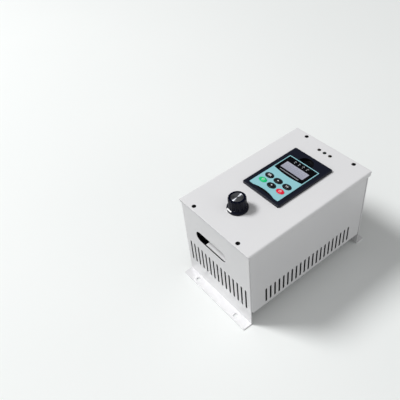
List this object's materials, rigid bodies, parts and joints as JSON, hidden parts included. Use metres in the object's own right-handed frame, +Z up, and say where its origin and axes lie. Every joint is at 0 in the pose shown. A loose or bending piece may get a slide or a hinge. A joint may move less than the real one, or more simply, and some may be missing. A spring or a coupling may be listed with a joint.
{
  "type": "induction heating machine",
  "caption": "Vented white sheet steel box on two screw-down feet, with a lift-out keypad, a speed knob, lamps and a cable slot.",
  "frame": {"origin": "centre of the footprint, on the surface that the mounting feet stand on", "axes": "+X across the case to the right as seen from the cable slot end, +Y along the case towards the fan end, +Z up"},
  "size_m": [0.132, 0.2332, 0.1591],
  "materials": {
    "white_powder_coat": "semi-gloss",
    "black_screw": "satin",
    "fan_plastic": "matte",
    "bright_wire": "polished",
    "zinc_screw": "satin",
    "sink_aluminium": "satin",
    "package_epoxy": "matte",
    "circuit_board": "satin",
    "brass": "satin",
    "capacitor_sleeve": "gloss",
    "film_case": "satin",
    "core_epoxy": "matte",
    "enamelled_copper": "gloss",
    "blue_plastic": "satin",
    "terminal_plastic": "matte",
    "keypad_plastic": "satin",
    "teal_overlay": "satin",
    "black_print": "gloss",
    "display_grey": "gloss",
    "display_body": "matte",
    "switch_metal": "satin",
    "light_pipe": "gloss",
    "black_key": "satin",
    "green_key": "satin",
    "red_key": "satin",
    "pot_steel": "satin",
    "bakelite": "gloss",
    "spun_aluminium": "spun",
    "white_print": "matte",
    "red_lens": "gloss",
    "green_lens": "gloss",
    "amber_lens": "gloss"
  },
  "bodies": {
    "case": {"base_shell": "white_powder_coat", "front_end_panel": "white_powder_coat", "rear_end_panel": "white_powder_coat", "lid": "white_powder_coat", "lid_screws": "black_screw", "fan_frame": "fan_plastic", "fan_guard": "bright_wire", "fan_screws": "zinc_screw", "heatsink": "sink_aluminium", "heatsink_screws": "zinc_screw", "power_transistors": "package_epoxy", "transistor_screws": "zinc_screw", "bridge_rectifier": "package_epoxy", "power_board": "circuit_board", "board_spacers": "brass", "board_screws": "zinc_screw", "smoothing_capacitors": "capacitor_sleeve", "resonant_capacitors": "film_case", "choke_core": "core_epoxy", "choke_winding": "enamelled_copper", "current_transformer": "blue_plastic", "soft_start_relay": "blue_plastic", "control_board": "circuit_board", "terminal_shelf": "white_powder_coat", "shelf_screws": "zinc_screw", "terminal_block": "terminal_plastic", "terminal_screws": "zinc_screw", "earth_stud": "brass", "keypad_bezel": "keypad_plastic", "keypad_socket": "terminal_plastic", "potentiometer_body": "pot_steel", "potentiometer_nut": "zinc_screw", "lamp_holders": "keypad_plastic", "lamp_left": "red_lens", "lamp_middle": "green_lens", "lamp_right": "amber_lens"},
    "fan": {"fan_rotor": "fan_plastic"},
    "knob_assembly": {"knob": "bakelite", "knob_insert": "brass", "knob_cap": "spun_aluminium", "knob_pointer": "white_print", "potentiometer_shaft": "pot_steel"},
    "keypad": {"keypad_case": "keypad_plastic", "keypad_back": "keypad_plastic", "keypad_overlay": "teal_overlay", "display_field": "black_print", "display_window": "display_grey", "display_module": "display_body", "keypad_board": "circuit_board", "key_switches": "switch_metal", "keypad_screws": "zinc_screw", "status_lights": "light_pipe"},
    "key_top_left": {"key_top_left": "black_key"},
    "key_up": {"key_up": "black_key"},
    "key_top_right": {"key_top_right": "black_key"},
    "key_run": {"key_run": "green_key"},
    "key_down": {"key_down": "black_key"},
    "key_stop": {"key_stop": "red_key"}
  },
  "joints": [
    {"name": "fan_spin", "type": "hinge", "parent": "case", "child": "fan", "pos_m": [0, 0.0892, 0.0707], "axis": [0, 1, 0], "continuous": true},
    {"name": "knob_turn", "type": "hinge", "parent": "case", "child": "knob_assembly", "pos_m": [-0.0015, -0.0623, 0.14], "axis": [0, 0, -1], "range_deg": [0, 300]},
    {"name": "keypad_release", "type": "slide", "parent": "case", "child": "keypad", "axis": [0, 0, 1], "range_m": [0, 0.025]},
    {"name": "key_top_left_press", "type": "slide", "parent": "keypad", "child": "key_top_left", "axis": [0, 0, -1], "range_m": [0, 0.0007], "stiffness_N_per_m": 300},
    {"name": "key_up_press", "type": "slide", "parent": "keypad", "child": "key_up", "axis": [0, 0, -1], "range_m": [0, 0.0007], "stiffness_N_per_m": 300},
    {"name": "key_top_right_press", "type": "slide", "parent": "keypad", "child": "key_top_right", "axis": [0, 0, -1], "range_m": [0, 0.0007], "stiffness_N_per_m": 300},
    {"name": "key_run_press", "type": "slide", "parent": "keypad", "child": "key_run", "axis": [0, 0, -1], "range_m": [0, 0.0007], "stiffness_N_per_m": 300},
    {"name": "key_down_press", "type": "slide", "parent": "keypad", "child": "key_down", "axis": [0, 0, -1], "range_m": [0, 0.0007], "stiffness_N_per_m": 300},
    {"name": "key_stop_press", "type": "slide", "parent": "keypad", "child": "key_stop", "axis": [0, 0, -1], "range_m": [0, 0.0007], "stiffness_N_per_m": 300}
  ]
}
